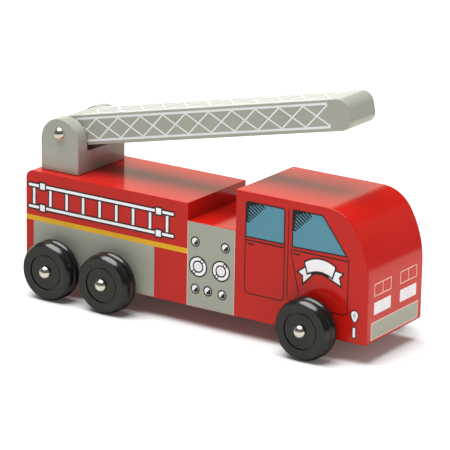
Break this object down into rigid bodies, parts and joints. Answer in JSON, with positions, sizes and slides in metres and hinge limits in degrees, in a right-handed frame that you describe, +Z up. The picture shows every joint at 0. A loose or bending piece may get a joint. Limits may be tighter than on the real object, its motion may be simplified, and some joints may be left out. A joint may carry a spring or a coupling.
{
  "type": "toy fire engine",
  "caption": "Wooden toy fire engine: red block body with a curved cab, black wheels turning on steel axles, and a grey ladder that tilts on a pin and swivels on its base.",
  "frame": {"origin": "on the floor, under the middle of the engine's length and width", "axes": "+X towards the engine's front, +Y towards its left side, +Z up"},
  "size_m": [0.298, 0.121, 0.1817],
  "materials": {
    "red_paint": "gloss lacquer over wood",
    "grey_paint": "satin lacquer over wood",
    "black_plastic": "moulded, semi-gloss",
    "nickel": "bright nickel plate",
    "steel": "drawn rod",
    "bare_wood": "unpainted beech",
    "fibre": "vulcanised fibre",
    "white_print": "printed ink",
    "black_print": "printed ink",
    "yellow_print": "printed ink",
    "window_print": "printed ink"
  },
  "bodies": {
    "truck": {"rear_body": "red_paint", "pump_section": "red_paint", "cab": "red_paint", "pump_dowels": "bare_wood", "cab_dowels": "bare_wood", "swivel_washer": "fibre", "swivel_screw": "steel", "screw_washer": "steel", "front_axle": "steel", "middle_axle": "steel", "rear_axle": "steel", "axle_cap_front_right": "nickel", "axle_cap_front_left": "nickel", "axle_cap_middle_right": "nickel", "axle_cap_middle_left": "nickel", "axle_cap_rear_right": "nickel", "axle_cap_rear_left": "nickel"},
    "ladder_base": {"ladder_base": "grey_paint", "pivot_pin": "steel", "pivot_cap_right": "nickel", "pivot_cap_left": "nickel", "pivot_washer_right": "fibre", "pivot_washer_left": "fibre"},
    "ladder": {"ladder": "grey_paint"},
    "wheel_front_right": {"wheel_front_right": "black_plastic"},
    "wheel_front_left": {"wheel_front_left": "black_plastic"},
    "wheel_middle_right": {"wheel_middle_right": "black_plastic"},
    "wheel_middle_left": {"wheel_middle_left": "black_plastic"},
    "wheel_rear_right": {"wheel_rear_right": "black_plastic"},
    "wheel_rear_left": {"wheel_rear_left": "black_plastic"}
  },
  "joints": [
    {"name": "ladder_swivel", "type": "hinge", "parent": "truck", "child": "ladder_base", "pos_m": [-0.124, 0, 0.0922], "axis": [0, 0, 1], "continuous": true},
    {"name": "ladder_tilt", "type": "hinge", "parent": "ladder_base", "child": "ladder", "pos_m": [-0.124, 0, 0.1218], "axis": [0, -1, 0], "range_deg": [-12, 78]},
    {"name": "wheel_front_right_spin", "type": "hinge", "parent": "truck", "child": "wheel_front_right", "pos_m": [0.1056, -0.049, 0.0225], "axis": [0, 1, 0], "continuous": true},
    {"name": "wheel_front_left_spin", "type": "hinge", "parent": "truck", "child": "wheel_front_left", "pos_m": [0.1056, 0.049, 0.0225], "axis": [0, 1, 0], "continuous": true},
    {"name": "wheel_middle_right_spin", "type": "hinge", "parent": "truck", "child": "wheel_middle_right", "pos_m": [-0.066, -0.049, 0.0225], "axis": [0, 1, 0], "continuous": true},
    {"name": "wheel_middle_left_spin", "type": "hinge", "parent": "truck", "child": "wheel_middle_left", "pos_m": [-0.066, 0.049, 0.0225], "axis": [0, 1, 0], "continuous": true},
    {"name": "wheel_rear_right_spin", "type": "hinge", "parent": "truck", "child": "wheel_rear_right", "pos_m": [-0.117, -0.049, 0.0225], "axis": [0, 1, 0], "continuous": true},
    {"name": "wheel_rear_left_spin", "type": "hinge", "parent": "truck", "child": "wheel_rear_left", "pos_m": [-0.117, 0.049, 0.0225], "axis": [0, 1, 0], "continuous": true}
  ]
}
